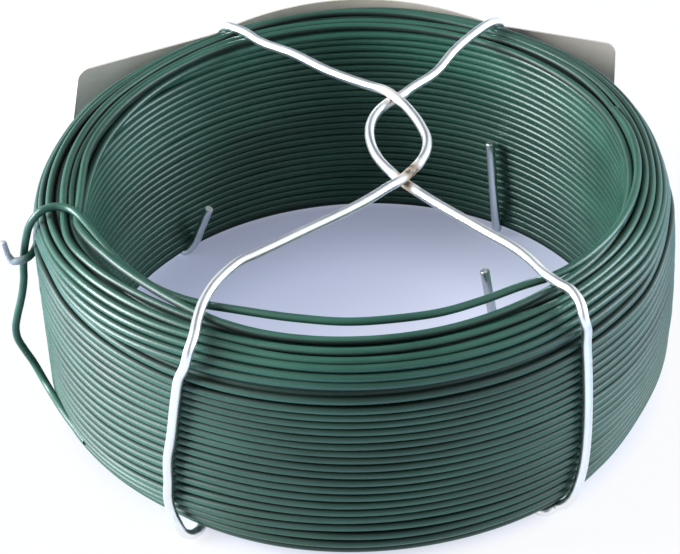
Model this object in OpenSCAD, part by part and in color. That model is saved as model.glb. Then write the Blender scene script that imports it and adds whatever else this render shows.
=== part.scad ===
// Coil of plastic-coated binding wire, lying flat in its two-wire cage.
// Z is up, the floor is z = 0, the viewer's side is -Y and X is to the right.
// The origin is on the floor, under the centre of the coil. Angles round the
// coil are measured from the front (-Y) towards the right (+X).

/* [Binding wire] */
// thickness of the coated wire
wire_d = 2; // [1.6:0.1:2.6]
// spacing of the turns up the outside and inside of the coil
turn_pitch = 2.2; // [2.1:0.05:2.4]
// depth of the groove between two turns
turn_relief = 0.5; // [0.3:0.05:0.8]

/* [Coil] */
// outside diameter over the turns
coil_d = 164; // [150:1:180]
// thickness of the bundle, from the bore to the outside
bundle_t = 13; // [11:0.5:20]
// height of the bundle
coil_h = 60; // [50:1:70]
// rounding of the top outer edge
top_round = 9; // [5:0.5:12]
// rounding of the bottom outer edge
bottom_round = 6; // [3:0.5:8]

/* [Cage] */
// thickness of the plated cage wire
cage_wire_d = 2.3; // [2:0.1:2.8]
// how high the lower wire passes over the top of the coil
cage_rise = 3.8; // [2.5:0.1:6]
// how deep the two wires sink into each other at the welds
weld_sink = 0.4; // [0.1:0.1:0.8]
// height of the cut ends that stand in the bore
stub_h = 31; // [24:1:40]
// height of the cut end that leans over, at the back on the left
lean_stub_h = 18.3; // [14:0.5:24]

/* [Card] */
// width of the card between its top corners
card_w = 147; // [130:1:160]
// thickness of the card
card_t = 0.5; // [0.3:0.1:1]
// space between the coil and the card
card_gap = 0.1; // [0:0.05:0.5]
// height of the card's bottom edge over the floor
card_low = 3.5; // [2:0.5:8]
// height of the card's straight top edges over the floor
card_high = 59; // [55:0.5:63]
// how far the middle of the top edge bulges above its ends
card_bulge = 4.2; // [0:0.1:6]
// radius of the card's top corners
card_corner = 2.6; // [1:0.1:6]

/* [Hidden] */
$fn = 96;
coil_r = coil_d / 2;
bore_r = coil_r - bundle_t;
wire_r = wire_d / 2;
cage_r = cage_wire_d / 2;
seat_z = cage_wire_d;                       // the coil rests on the cage's lower runs
top_z = seat_z + coil_h;                    // top of the bundle
front_leg_r = coil_r + cage_r;              // front legs press on the turns
card_mid_r = coil_r + card_gap + card_t / 2;
back_leg_r = card_mid_r + card_t / 2 + cage_r;
run_z = cage_r + 0.1;                       // the lower runs press into the turns
rim_z = top_z + cage_r;                     // a cage wire lying on the bundle
low_z = top_z + cage_rise;                  // lower wire over the bore
high_z = low_z + cage_wire_d - weld_sink;   // upper wire, at the welds
loose_z = top_z + wire_r;                   // a turn lying on the bundle's top
curve_steps = 4;                            // pieces in each stretch of a bent wire
cage_sides = 10;
strand_sides = 8;

// ---- small helpers -------------------------------------------------------

function ring(angle, r, z) = [r * sin(angle), -r * cos(angle), z];
function outside(angle, out, z) = ring(angle, coil_r + out, z);
function in_bore(angle, inward, z) = ring(angle, bore_r - inward, z);
function leg(angle, out, z) = ring(angle, front_leg_r + out, z);
function over_bore(x, y, z) = [bore_r * x, bore_r * y, z];     // x and y as shares of its radius
function up_side(share) = seat_z + coil_h * share;             // a share of the bundle's height
function unit(v) = v / norm(v);

// direction of a route at one of its points, leaning to the shorter neighbour
function heading(p, i) =
    i == 0 ? unit(p[1] - p[0])
    : i == len(p) - 1 ? unit(p[i] - p[i - 1])
    : let (a = p[i] - p[i - 1], b = p[i + 1] - p[i])
      unit(a * norm(b) / norm(a) + b * norm(a) / norm(b));

// one point of the smooth curve between two route points
function between(p, i, t) =
    let (span = norm(p[i + 1] - p[i]), u = 1 - t)
    p[i] * (1 + 2 * t) * u * u + heading(p, i) * span * t * u * u
    + p[i + 1] * t * t * (3 - 2 * t) - heading(p, i + 1) * span * t * t * u;

function smooth(p) = concat(
    [for (i = [0:len(p) - 2]) for (k = [0:curve_steps - 1]) between(p, i, k / curve_steps)],
    [p[len(p) - 1]]);

function square_to(v, along) = unit(v - (v * along) * along);

// a side direction carried along the route without twisting
function carried(p) = [for (i = 0, s = square_to([0.3, 0.2, 1], heading(p, 0)); i < len(p);
    i = i + 1, s = i < len(p) ? square_to(s, heading(p, i)) : s) s];

// a round wire that follows a route
module bent_wire(route, r, sides) {
    p = smooth(route);
    side = carried(p);
    rings = [for (i = [0:len(p) - 1]) for (k = [0:sides - 1])
        let (a = 360 * k / sides)
        p[i] + r * (cos(a) * side[i] + sin(a) * cross(heading(p, i), side[i]))];
    skin = [for (i = [0:len(p) - 2]) for (k = [0:sides - 1])
        let (q = i * sides, n = (k + 1) % sides)
        each [[q + k, q + sides + k, q + n], [q + n, q + sides + k, q + sides + n]]];
    first = [[for (k = [0:sides - 1]) k]];
    last = [[for (k = [sides - 1:-1:0]) (len(p) - 1) * sides + k]];
    polyhedron(points = rings, faces = concat(skin, first, last));
}

// ---- coil ----------------------------------------------------------------

// The turns' centres run round the bundle's section: along the top, down the
// outside and back along the bottom, then up the bore.
top_bend = top_round - wire_r;
bottom_bend = bottom_round - wire_r;
in_r = bore_r + wire_r;
out_r = coil_r - wire_r;
flat_top = out_r - top_bend - in_r;
side_run = coil_h - wire_d - top_bend - bottom_bend;
flat_bottom = out_r - bottom_bend - in_r;
quarter_turn = PI / 2;
stations = [flat_top, quarter_turn * top_bend, side_run, quarter_turn * bottom_bend, flat_bottom];
function run_to(k) = k < 0 ? 0 : stations[k] + run_to(k - 1);
outer_turns = round(run_to(4) / turn_pitch);
bore_turns = round((coil_h - wire_d) / turn_pitch);

// centre of the turn at distance s along that path, and the way it faces
function section(s) =
    s <= run_to(0) ? [in_r + s, coil_h - wire_r, 90]
    : s <= run_to(1) ? let (a = (s - run_to(0)) / top_bend * 180 / PI)
        [out_r - top_bend + top_bend * sin(a), coil_h - top_round + top_bend * cos(a), 90 - a]
    : s <= run_to(2) ? [out_r, coil_h - top_round - (s - run_to(1)), 0]
    : s <= run_to(3) ? let (a = (s - run_to(2)) / bottom_bend * 180 / PI)
        [out_r - bottom_bend + bottom_bend * cos(a), bottom_round - bottom_bend * sin(a), -a]
    : [out_r - bottom_bend - (s - run_to(3)), wire_r, -90];

groove_half = acos(1 - turn_relief / wire_r);
function turn_face(c, from, to) = [for (k = [0:4]) let (a = c[2] + from + (to - from) * k / 4)
    [c[0] + wire_r * cos(a), c[1] + wire_r * sin(a)]];

module coil_section()
    polygon(concat(
        [for (i = [0:outer_turns]) each turn_face(section(run_to(4) * i / outer_turns),
            i == 0 ? 90 : groove_half, i == outer_turns ? -90 : -groove_half)],
        [for (i = [1:bore_turns - 1]) each turn_face(
            [in_r, wire_r + (coil_h - wire_d) * i / bore_turns, 180], groove_half, -groove_half)]));

module wire_coil()
    color("darkgreen") translate([0, 0, seat_z]) rotate_extrude() coil_section();

// ---- loose parts of the same wire -------------------------------------------

// Leaves the outside low on the left, loops up over the bundle, then runs round
// the bore's top edge as a loose turn and dives back in on the right.
module tie_and_loose_turn() {
    side = -80.5;   // the strand climbs the outside at this angle
    route = [
        outside(-60, -wire_r, up_side(0.112)), outside(-70, 0, up_side(0.123)),
        outside(-78, 2, up_side(0.137)), outside(side, 4.3, up_side(0.212)),
        outside(side, 5.9, up_side(0.278)), outside(side, 7.4, up_side(0.357)),
        outside(side, 7.4, up_side(0.405)), outside(side, 6.5, up_side(0.47)),
        outside(side, 5.3, up_side(0.535)), outside(side, 4.3, up_side(0.597)),
        outside(side, 3.6, up_side(0.658)), outside(side, 3.2, up_side(0.728)),
        outside(side, 2.3, up_side(0.815)), outside(-80.3, 1.5, up_side(0.872)),
        outside(-80.1, 0.6, up_side(0.92)),
        outside(-79.7, -1, top_z - 1.9), outside(-79.6, -3, loose_z - 1),
        outside(-79.7, -5.2, loose_z - 0.4), outside(-79.5, -7.2, loose_z - 0.3),
        outside(-78.4, -9.4, loose_z - 0.3), in_bore(-75.2, -1.9, loose_z - 0.2),
        in_bore(-71, -0.9, loose_z), in_bore(-64.7, 0, loose_z), in_bore(-55, 0.1, loose_z - 0.2),
        in_bore(-42.6, 0.3, loose_z - 0.4), in_bore(-33.5, 1.9, loose_z - 0.5),
        in_bore(-27, 3.3, loose_z - 0.3), in_bore(-12, 3.6, loose_z), in_bore(-2.6, 3, loose_z),
        in_bore(8.3, 2.8, loose_z), in_bore(16.6, 2.3, loose_z), in_bore(25.4, 2.6, loose_z - 0.2),
        in_bore(34.7, 2.2, loose_z - 0.3), in_bore(43.2, -0.3, loose_z - 0.3),
        in_bore(55.6, -1.9, loose_z - 0.1), in_bore(70.4, -2.6, loose_z - 0.1),
        in_bore(84, -2.8, loose_z - 0.5), in_bore(96, -2.8, loose_z - 1.4)];
    color("green") bent_wire(route, wire_r, strand_sides);
}

// The outer end of the wire, hooked back over the tie.
module hooked_end() {
    low = up_side(0.777);       // lowest point of the hook
    route = [
        outside(-84.5, -1.7, low + 2.1), outside(-81.8, -0.6, low + 1.1),
        outside(-79.8, 0.8, low + 0.7), outside(-78.7, 2.6, low + 0.6),
        outside(-78.8, 4.3, low + 0.2), outside(-79.3, 5.8, low), outside(-79.7, 6.7, low + 1),
        outside(-80, 7.3, low + 3.2), outside(-80.2, 7.6, low + 5.1)];
    color("green") bent_wire(route, wire_r, strand_sides);
}

// ---- cage ------------------------------------------------------------------

// Stub in the bore, under the coil, up the back on the left, over both welds
// and round the right of the eye, down the front on the left, and in again.
module left_cage_wire() {
    back = -155;
    route = [
        in_bore(-139.4, 6.8, lean_stub_h), in_bore(-138.5, 3.3, 0.55 * lean_stub_h),
        in_bore(-137.7, 0.7, 0.22 * lean_stub_h),
        in_bore(-136.3, -1.2, 1.6), in_bore(-136.4, -4.2, run_z), outside(-141.2, -3.8, run_z),
        outside(-147, -3, run_z), outside(-151, 0, 2.2), ring(-154, back_leg_r, 6),
        ring(back, back_leg_r, 12), ring(back, back_leg_r, top_z - 10.3),
        ring(back + 0.4, back_leg_r, top_z - 5.3), ring(back + 0.8, back_leg_r - 1, top_z - 1.3),
        outside(-154, -3, rim_z - 0.6), outside(-154, -8, rim_z), outside(-158.5, -17.7, rim_z + 0.9),
        over_bore(-0.072, 0.558, high_z - 1.5), over_bore(0.072, 0.428, high_z - 0.4),
        over_bore(0.138, 0.37, high_z), over_bore(0.188, 0.304, high_z),
        over_bore(0.232, 0.21, high_z), over_bore(0.264, 0.109, high_z),
        over_bore(0.278, 0.029, high_z), over_bore(0.268, -0.058, high_z),
        over_bore(0.243, -0.123, high_z), over_bore(0.207, -0.18, high_z),
        over_bore(0.17, -0.229, high_z), over_bore(0.13, -0.264, high_z),
        over_bore(0.058, -0.325, high_z - 0.3), over_bore(-0.188, -0.497, high_z - 0.7),
        over_bore(-0.349, -0.612, high_z - 1), over_bore(-0.398, -0.645, high_z - 1.2),
        over_bore(-0.442, -0.691, high_z - 1.6),
        outside(-32.7, -20.8, rim_z + 2.4), outside(-31.8, -14.1, rim_z + 1.6),
        outside(-30.3, -7.9, rim_z + 0.8), outside(-29.3, -2.7, rim_z - 0.2),
        leg(-29.1, -0.8, top_z - 1), leg(-29.5, 0, top_z - 3.8), leg(-30.9, 0, top_z - 9.8),
        leg(-32, 0, top_z - 16.3), leg(-33.6, 0, up_side(0.503)), leg(-34.9, 0, up_side(0.278)),
        leg(-35.2, 0, up_side(0.17)), leg(-35, 0, 9.6), outside(-34.6, 0.9, 6.6), outside(-34.1, -0.8, 3.4),
        outside(-33.7, -2.6, 1.9), outside(-33.3, -4.4, 1.3), outside(-33.3, -6.6, run_z),
        in_bore(-35, -2, run_z), in_bore(-37, 4, run_z), in_bore(-38, 6.8, 1.9),
        in_bore(-38.5, 8.2, 4.5), in_bore(-38.4, 10.3, 0.87 * stub_h)];
    color("silver") bent_wire(route, cage_r, cage_sides);
}

// The same on the other side, under the left wire at both welds.
module right_cage_wire() {
    back = 149;
    out = back_leg_r + 1.3;     // the card has left the coil here
    route = [
        in_bore(144.4, 2.6, 1.03 * stub_h), in_bore(143.1, 2, 6), in_bore(143.2, 1.3, 2.6),
        in_bore(144, -0.8, run_z), outside(145.1, -8.9, run_z), outside(148.5, -3.5, run_z),
        outside(148.8, 0.5, 2.3), ring(back, out, 6), ring(back, out, 12),
        ring(back, out, top_z - 10.3), ring(back, out, top_z - 4.3), ring(148.8, out - 0.6, top_z - 0.9),
        outside(148.7, 0, rim_z - 0.4), outside(148.7, -3.6, rim_z), outside(148.6, -6.5, rim_z + 0.1),
        outside(149, -17.2, rim_z + 0.8), over_bore(0.314, 0.555, low_z - 0.7),
        over_bore(0.239, 0.442, low_z - 0.1), over_bore(0.206, 0.391, low_z),
        over_bore(0.145, 0.333, low_z), over_bore(0.101, 0.267, low_z),
        over_bore(0.075, 0.186, low_z), over_bore(0.07, 0.104, low_z),
        over_bore(0.078, 0.032, low_z), over_bore(0.101, -0.051, low_z),
        over_bore(0.133, -0.119, low_z), over_bore(0.167, -0.178, low_z),
        over_bore(0.212, -0.241, low_z), over_bore(0.258, -0.301, low_z),
        over_bore(0.435, -0.516, low_z), outside(40.5, -18.9, low_z),
        outside(40.5, -13.6, low_z - 0.2), outside(40.1, -8.5, rim_z + 1.8),
        outside(39.4, -4.1, rim_z + 1), outside(38.6, -0.4, rim_z - 0.1),
        leg(38.4, 0.6, top_z - 1.6), leg(39, 0.7, top_z - 5), leg(39.8, 0.1, top_z - 9.3),
        leg(40.3, 0, top_z - 15.8), leg(40.6, 0, up_side(0.537)), leg(40.7, 0, up_side(0.378)),
        leg(40.4, 0, up_side(0.268)), leg(39.8, 0, up_side(0.192)), leg(38.9, 0, 10),
        outside(37.8, 0.9, 6.6), outside(37, -0.8, 3.4),
        outside(36, -2.6, 1.9), outside(34.4, -3.2, 1.3), outside(33.3, -4.8, run_z),
        outside(34, -9, run_z), over_bore(0.555, -0.26, run_z), over_bore(0.554, -0.188, run_z),
        over_bore(0.542, -0.122, 2.1),
        over_bore(0.536, -0.099, 5), over_bore(0.481, -0.065, stub_h)];
    color("silver") bent_wire(route, cage_r, cage_sides);
}

// ---- card --------------------------------------------------------------------

// Held between the coil and the back legs: it follows the coil across the back
// and its two ends spring out straight.
module label_card() {
    left_leave = -155.5;    // angle where the left end leaves the coil
    right_leave = 158;      // the same on the right
    wing = 0.35 * card_w;   // straight end, cut to shape by the outline below
    arc = [for (a = [left_leave, -160, -165, -170, -175, -180, -185, -190, -195, -198, right_leave - 360])
        [a, ring(a, 1, 0)]];
    function side(d) = concat(
        [let (a = left_leave) ring(a, card_mid_r + d, 0) + wing * [cos(a), sin(a), 0]],
        [for (q = arc) ring(q[0], card_mid_r + d, 0)],
        [let (a = right_leave) ring(a, card_mid_r + d, 0) - wing * [cos(a), sin(a), 0]]);
    inner = side(-card_t / 2);
    outer = side(card_t / 2);
    half_w = card_w / 2;
    slant = 0.2;            // how the left edge leans out towards the bottom
    bulge_x = 0.014 * card_w;   // the bulge is a little right of the middle
    bulge_half = 0.23 * card_w;
    bulge_r = (bulge_half * bulge_half + card_bulge * card_bulge) / (2 * card_bulge);
    bulge_angle = asin(bulge_half / bulge_r);
    depth = 2 * coil_d;
    function corner(x, a) = [x + card_corner * cos(a), card_high - card_corner * (1 - sin(a))];
    outline = concat(
        [[-half_w - slant * (card_high - card_low), card_low]],
        [for (a = [180:-30:90]) corner(-half_w + card_corner, a)],
        [for (k = [-4:4]) let (a = bulge_angle * k / 4)
            [bulge_x + bulge_r * sin(a), card_high + card_bulge - bulge_r * (1 - cos(a))]],
        [for (a = [90:-30:0]) corner(half_w - card_corner, a)],
        [[half_w, card_low]]);
    color("tan") intersection() {
        linear_extrude(height = card_high + card_bulge + 1)
            polygon([for (q = inner) [q[0], q[1]],
                for (i = [len(outer) - 1:-1:0]) [outer[i][0], outer[i][1]]]);
        translate([0, depth / 2, 0]) rotate([90, 0, 0])
            linear_extrude(height = depth) polygon(outline);
    }
}

wire_coil();
tie_and_loose_turn();
hooked_end();
left_cage_wire();
right_cage_wire();
label_card();
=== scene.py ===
"""Coil of plastic-coated binding wire, tied with its own ends and held in a
plated two-wire cage with a plain card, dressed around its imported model.

Laid out as an add-on: one operator makes each piece or group of like pieces.
Angles round the coil are measured from the front (-Y) towards the right (+X).
"""

import math
import random

import bmesh
import bpy
import numpy as np
from mathutils import Matrix, Vector


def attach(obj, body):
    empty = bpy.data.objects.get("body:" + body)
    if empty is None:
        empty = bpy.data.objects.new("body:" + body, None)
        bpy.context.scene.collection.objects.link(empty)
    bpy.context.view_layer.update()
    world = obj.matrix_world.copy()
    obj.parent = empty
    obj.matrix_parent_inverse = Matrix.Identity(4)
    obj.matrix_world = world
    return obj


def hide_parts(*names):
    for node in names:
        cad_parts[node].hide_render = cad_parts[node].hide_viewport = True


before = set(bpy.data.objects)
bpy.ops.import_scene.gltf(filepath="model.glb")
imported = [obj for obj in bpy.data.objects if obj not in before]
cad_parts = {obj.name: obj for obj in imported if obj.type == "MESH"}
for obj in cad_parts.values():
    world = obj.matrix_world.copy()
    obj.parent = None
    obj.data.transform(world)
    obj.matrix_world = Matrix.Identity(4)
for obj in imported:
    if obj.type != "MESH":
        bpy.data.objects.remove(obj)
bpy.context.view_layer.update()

bl_info = {
    "name": "Binding Wire Coil",
    "version": (1, 0, 0),
    "blender": (4, 5, 0),
    "location": "View3D > Sidebar > Wire Coil",
    "description": "Builds a coil of coated binding wire in its cage, piece by piece",
    "category": "Add Mesh",
}

MM = 0.001
SEED = 20


# ---- settings shown in the panel -------------------------------------------

def length(name, description, default, low, high):
    """A length of the panel, in metres."""
    return bpy.props.FloatProperty(name=name, description=description, default=default,
                                   min=low, max=high, unit="LENGTH", subtype="DISTANCE",
                                   precision=5)


def colour(name, description, default):
    """A colour of the panel."""
    return bpy.props.FloatVectorProperty(name=name, description=description, default=default,
                                         size=3, min=0, max=1, subtype="COLOR")


class WireCoilSizes(bpy.types.PropertyGroup):
    """Sizes of the coil, its cage and its card."""
    wire_d: length("Wire", "Thickness of the coated wire", 0.002, 0.0016, 0.0026)
    core_d: length("Steel core", "Thickness of the bare steel wire inside the coat",
                   0.0014, 0.001, 0.0018)
    coil_d: length("Coil", "Outside diameter over the turns", 0.164, 0.15, 0.18)
    bundle_t: length("Bundle", "Thickness from the bore to the outside", 0.013, 0.011, 0.02)
    coil_h: length("Height", "Height of the bundle", 0.06, 0.05, 0.07)
    bottom_round: length("Bottom rounding", "Rounding of the bottom outer edge",
                         0.006, 0.003, 0.008)
    cage_wire_d: length("Cage wire", "Thickness of the plated cage wire", 0.0023, 0.002, 0.0028)
    plating_t: length("Plating", "Thickness the plating adds to the cage wire", 0.0001,
                      0, 0.0002)
    cage_rise: length("Cage rise", "How high the lower wire passes over the coil",
                      0.0038, 0.0025, 0.006)
    weld_sink: length("Weld sink", "How deep the wires sink into each other", 0.0004,
                      0.0001, 0.0008)
    stub_h: length("Stubs", "Height of the cut ends that stand in the bore", 0.031, 0.024, 0.04)
    lean_stub_h: length("Leaning stub", "Height of the cut end that leans over",
                        0.0183, 0.014, 0.024)
    card_w: length("Card", "Width of the card between its top corners", 0.147, 0.13, 0.16)
    card_t: length("Card thickness", "Thickness of the card", 0.0005, 0.0003, 0.001)
    card_gap: length("Card gap", "Space between the coil and the card", 0.0001, 0, 0.0005)
    card_low: length("Card bottom", "Height of the card's bottom edge", 0.0035, 0.002, 0.008)
    card_high: length("Card top", "Height of the card's straight top edges", 0.059, 0.055, 0.063)
    card_bulge: length("Card bulge", "How far the top edge bulges up", 0.0042, 0, 0.006)
    card_corner: length("Card corners", "Radius of the card's top corners", 0.0026, 0.001, 0.006)


class WireCoilFinishes(bpy.types.PropertyGroup):
    """Colours of the finishes."""
    coat: colour("Coat", "Green plastic coat of the wire", (0.019, 0.078, 0.053))
    coat_chalk: colour("Chalked coat", "Coat where it is rubbed pale", (0.16, 0.30, 0.25))
    plating: colour("Plating", "Bright zinc plating of the cage", (0.90, 0.925, 0.945))
    bare_steel: colour("Cut steel", "Steel at a fresh cut", (0.62, 0.62, 0.61))
    heat_tint: colour("Heat tint", "Straw and brown tint round a weld", (0.33, 0.24, 0.17))
    board: colour("Board", "Grey-brown card board", (0.50, 0.44, 0.385))


class WireCoilStage(bpy.types.PropertyGroup):
    """Floor, lamps and camera."""
    floor: colour("Floor", "Plain pale floor", (0.62, 0.69, 0.88))
    sky: bpy.props.FloatProperty(name="Sky", description="Strength of the even light all round",
                                 default=0.38, min=0, max=2)
    key: bpy.props.FloatProperty(name="Key lamp", description="Power of the large lamp on the left",
                                 default=64, min=0, max=200, subtype="POWER")
    fill: bpy.props.FloatProperty(name="Fill lamp", description="Power of the lamp on the right",
                                  default=29, min=0, max=200, subtype="POWER")
    lens: bpy.props.FloatProperty(name="Lens", description="Focal length of the camera",
                                  default=0.12848, min=0.02, max=0.4, unit="CAMERA")


def setting_names(group):
    """Names of the settings that a property group holds."""
    return [name for name in group.bl_rna.properties.keys() if name not in ("rna_type", "name")]


class Form:
    """What several pieces share, worked out from the panel's sizes, in millimetres."""

    def __init__(self):
        s = bpy.context.scene.wire_coil_sizes
        for name in setting_names(s):
            setattr(self, name, getattr(s, name) / MM)
        self.coil_r = self.coil_d / 2
        self.bore_r = self.coil_r - self.bundle_t
        self.wire_r = self.wire_d / 2
        self.cage_r = self.cage_wire_d / 2
        self.seat_z = self.cage_wire_d
        self.top_z = self.seat_z + self.coil_h
        self.front_leg_r = self.coil_r + self.cage_r
        self.card_mid_r = self.coil_r + self.card_gap + self.card_t / 2
        self.back_leg_r = self.card_mid_r + self.card_t / 2 + self.cage_r
        self.run_z = self.cage_r + 0.1
        self.rim_z = self.top_z + self.cage_r
        self.low_z = self.top_z + self.cage_rise
        self.high_z = self.low_z + self.cage_wire_d - self.weld_sink
        self.loose_z = self.top_z + self.wire_r
        self.in_r = self.bore_r + self.wire_r
        self.out_r = self.coil_r - self.wire_r

    def outside(self, angle, out, z):
        """A point that far out from the bundle's outside."""
        return ring(angle, self.coil_r + out, z)

    def in_bore(self, angle, inward, z):
        """A point that far inward from the wall of the bore."""
        return ring(angle, self.bore_r - inward, z)

    def leg(self, angle, out, z):
        """A point that far out from where a cage wire touches the outside."""
        return ring(angle, self.front_leg_r + out, z)

    def over_bore(self, x, y, z):
        """A point with x and y given as shares of the bore's radius."""
        return (self.bore_r * x, self.bore_r * y, z)

    def up_side(self, share):
        """The height at that share of the bundle's height."""
        return self.seat_z + self.coil_h * share


def ring(angle, r, z):
    """A point at that angle round the coil and that radius."""
    a = math.radians(angle)
    return (r * math.sin(a), -r * math.cos(a), z)


def level(place, z, *spots):
    """Points of a route that lie at one height."""
    return [place(a, b, z) for a, b in spots]


# ---- wires ------------------------------------------------------------------

def heading(p, i):
    """Direction of a route at its point i, weighed by the lengths on both sides."""
    if i == 0:
        v = p[1] - p[0]
    elif i == len(p) - 1:
        v = p[-1] - p[-2]
    else:
        a, b = p[i] - p[i - 1], p[i + 1] - p[i]
        la, lb = np.linalg.norm(a), np.linalg.norm(b)
        v = a * lb / la + b * la / lb
    return v / np.linalg.norm(v)


def smooth(route, steps):
    """Points of a smooth curve through a route, steps to each stretch."""
    p = np.array(route, float)
    out = []
    for i in range(len(p) - 1):
        span = np.linalg.norm(p[i + 1] - p[i])
        h0, h1 = heading(p, i), heading(p, i + 1)
        for k in range(steps):
            t = k / steps
            u = 1 - t
            out.append(p[i] * (1 + 2 * t) * u * u + h0 * span * t * u * u
                       + p[i + 1] * t * t * (3 - 2 * t) - h1 * span * t * t * u)
    out.append(p[-1])
    return np.array(out)


def tube_rings(p, r, sides, closed=False):
    """Rings of points round a line, with the distance along it."""
    p = np.asarray(p, float)
    n = len(p)
    if closed:
        ahead = np.roll(p, -1, 0) - np.roll(p, 1, 0)
    else:
        ahead = np.gradient(p, axis=0)
    ahead /= np.linalg.norm(ahead, axis=1)[:, None]
    side = np.zeros((n, 3))
    v = np.array([0.3, 0.2, 1.0])
    if closed:      # a ring round Z, so one side direction is radial
        side = np.stack([p[:, 0], p[:, 1], np.zeros(n)], 1)
        side -= (side * ahead).sum(1)[:, None] * ahead
        side /= np.linalg.norm(side, axis=1)[:, None]
    else:
        for i in range(n):
            v = v - (v @ ahead[i]) * ahead[i]
            v /= np.linalg.norm(v)
            side[i] = v
    third = np.cross(ahead, side)
    radius = np.broadcast_to(np.asarray(r, float), (n,))
    a = 2 * np.pi * np.arange(sides) / sides
    rings = (p[:, None, :] + radius[:, None, None]
             * (np.cos(a)[None, :, None] * side[:, None, :]
                + np.sin(a)[None, :, None] * third[:, None, :]))
    run = np.concatenate([[0], np.cumsum(np.linalg.norm(np.diff(p, axis=0), axis=1))])
    return rings, run


class Mesh:
    """Collects tubes and faces, and makes one object of them."""

    def __init__(self):
        self.points, self.faces, self.uvs, self.masks, self.count = [], [], [], [], 0

    def add(self, points, faces, uvs, mask=None):
        """points (n, 3) in mm; uvs hold one pair for each corner of each face."""
        points = np.asarray(points, float)
        self.points.append(points)
        self.faces.append(np.asarray(faces, int) + self.count)
        self.uvs.append(np.asarray(uvs, float).reshape(-1, 2))
        self.masks.append(np.zeros(len(points)) if mask is None else np.asarray(mask, float))
        self.count += len(points)

    def tube(self, line, r, sides, closed=False, mask=None, start=0.0):
        """Adds a tube along a line, and returns its rings of points."""
        rings, run = tube_rings(line, r, sides, closed)
        n = len(rings)
        last = n if closed else n - 1
        i = np.repeat(np.arange(last), sides)
        k = np.tile(np.arange(sides), last)
        j, m = (i + 1) % n, (k + 1) % sides
        quads = np.stack([i * sides + k, i * sides + m, j * sides + m, j * sides + k], 1)
        step = np.linalg.norm(rings[0].mean(0) - rings[-1].mean(0)) if closed else 0
        ends = np.append(run, run[-1] + step) + start
        girth = 2 * np.pi * float(np.max(r)) / sides
        u0, u1 = ends[i], ends[i + 1]
        uv = np.stack([u0, k * girth, u0, (k + 1) * girth,
                       u1, (k + 1) * girth, u1, k * girth], 1).reshape(-1, 2)
        if mask is not None:        # one value a ring, or one for each point of each ring
            mask = np.broadcast_to(np.reshape(mask, (n, -1)), (n, sides)).ravel()
        self.add(rings.reshape(-1, 3), quads, uv * MM, mask)
        return rings

    def rod(self, line, r, sides, mask=None):
        """Adds a tube that is closed at both ends."""
        rings = self.tube(line, r, sides, mask=mask)
        self.cap(rings[0], line[0], False)
        self.cap(rings[-1], line[-1], True)

    def cap(self, rim, centre, out, mask=0.0):
        """Closes an end with a fan of triangles; out says whether rim runs anticlockwise."""
        rim = np.asarray(rim)
        n = len(rim)
        k = np.arange(n)
        m = (k + 1) % n
        tri = np.stack([k, m, np.full(n, n)] if out else [m, k, np.full(n, n)], 1)
        pts = np.vstack([rim, centre])
        self.add(pts, tri, np.zeros((3 * n, 2)), np.full(n + 1, mask))

    def make(self, name, material, weld=1e-6):
        """Makes the object, and joins its points that lie closer than weld (m)."""
        mesh = bpy.data.meshes.new(name)
        points = np.vstack(self.points) * MM
        sizes = np.concatenate([np.full(len(f), f.shape[1]) for f in self.faces])
        corners = np.concatenate([f.ravel() for f in self.faces])
        mesh.vertices.add(len(points))
        mesh.vertices.foreach_set("co", points.astype(np.float32).ravel())
        mesh.loops.add(len(corners))
        mesh.loops.foreach_set("vertex_index", corners.astype(np.int32))
        mesh.polygons.add(len(sizes))
        starts = np.concatenate([[0], np.cumsum(sizes)[:-1]])
        mesh.polygons.foreach_set("loop_start", starts.astype(np.int32))
        mesh.polygons.foreach_set("loop_total", sizes.astype(np.int32))
        mesh.polygons.foreach_set("use_smooth", np.ones(len(sizes), bool))
        mesh.update(calc_edges=True)
        mesh.uv_layers.new(name="along").data.foreach_set(
            "uv", np.vstack(self.uvs).astype(np.float32).ravel())
        layer = mesh.attributes.new("mask", "FLOAT", "POINT")
        layer.data.foreach_set("value", np.concatenate(self.masks).astype(np.float32))
        mesh.validate()
        mesh.materials.append(material)
        obj = bpy.data.objects.new(name, mesh)
        bpy.context.scene.collection.objects.link(obj)
        if weld:
            merge_points(obj, weld)
        mesh.set_sharp_from_angle(angle=math.radians(42))
        return obj


def merge_points(obj, distance):
    """Joins the points of an object that lie closer than that (m)."""
    bm = bmesh.new()
    bm.from_mesh(obj.data)
    bmesh.ops.remove_doubles(bm, verts=bm.verts, dist=distance)
    bm.to_mesh(obj.data)
    bm.free()


def finish_piece(obj, slot, *nodes):
    """Every piece rides on the one body and stands for its nodes, which are hidden. The slot is not
    used.
    """
    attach(obj, "root")
    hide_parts(*nodes)


# ---- the turns of the coil ---------------------------------------------------

# points of a turn round the coil, and their angles
STEPS_ROUND = 240
AZ = -180 + 360 * np.arange(STEPS_ROUND) / STEPS_ROUND


def round_the_coil(angles, values, at=AZ):
    """A smooth closed curve of values through angles round the coil."""
    a, v = np.array(angles, float), np.array(values, float)
    a = np.concatenate([a[-2:] - 360, a, a[:2] + 360])
    v = np.concatenate([v[-2:], v, v[:2]])
    h = np.diff(a)
    d = np.diff(v) / h
    m = np.zeros(len(a))
    m[1:-1] = (d[:-1] * h[1:] + d[1:] * h[:-1]) / (h[:-1] + h[1:])
    i = np.clip(np.searchsorted(a, at, side="right") - 1, 1, len(a) - 3)
    t = (at - a[i]) / h[i]
    return ((2 * t**3 - 3 * t**2 + 1) * v[i] + (t**3 - 2 * t**2 + t) * h[i] * m[i]
            + (3 * t**2 - 2 * t**3) * v[i + 1] + (t**3 - t**2) * h[i] * m[i + 1])


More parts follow.
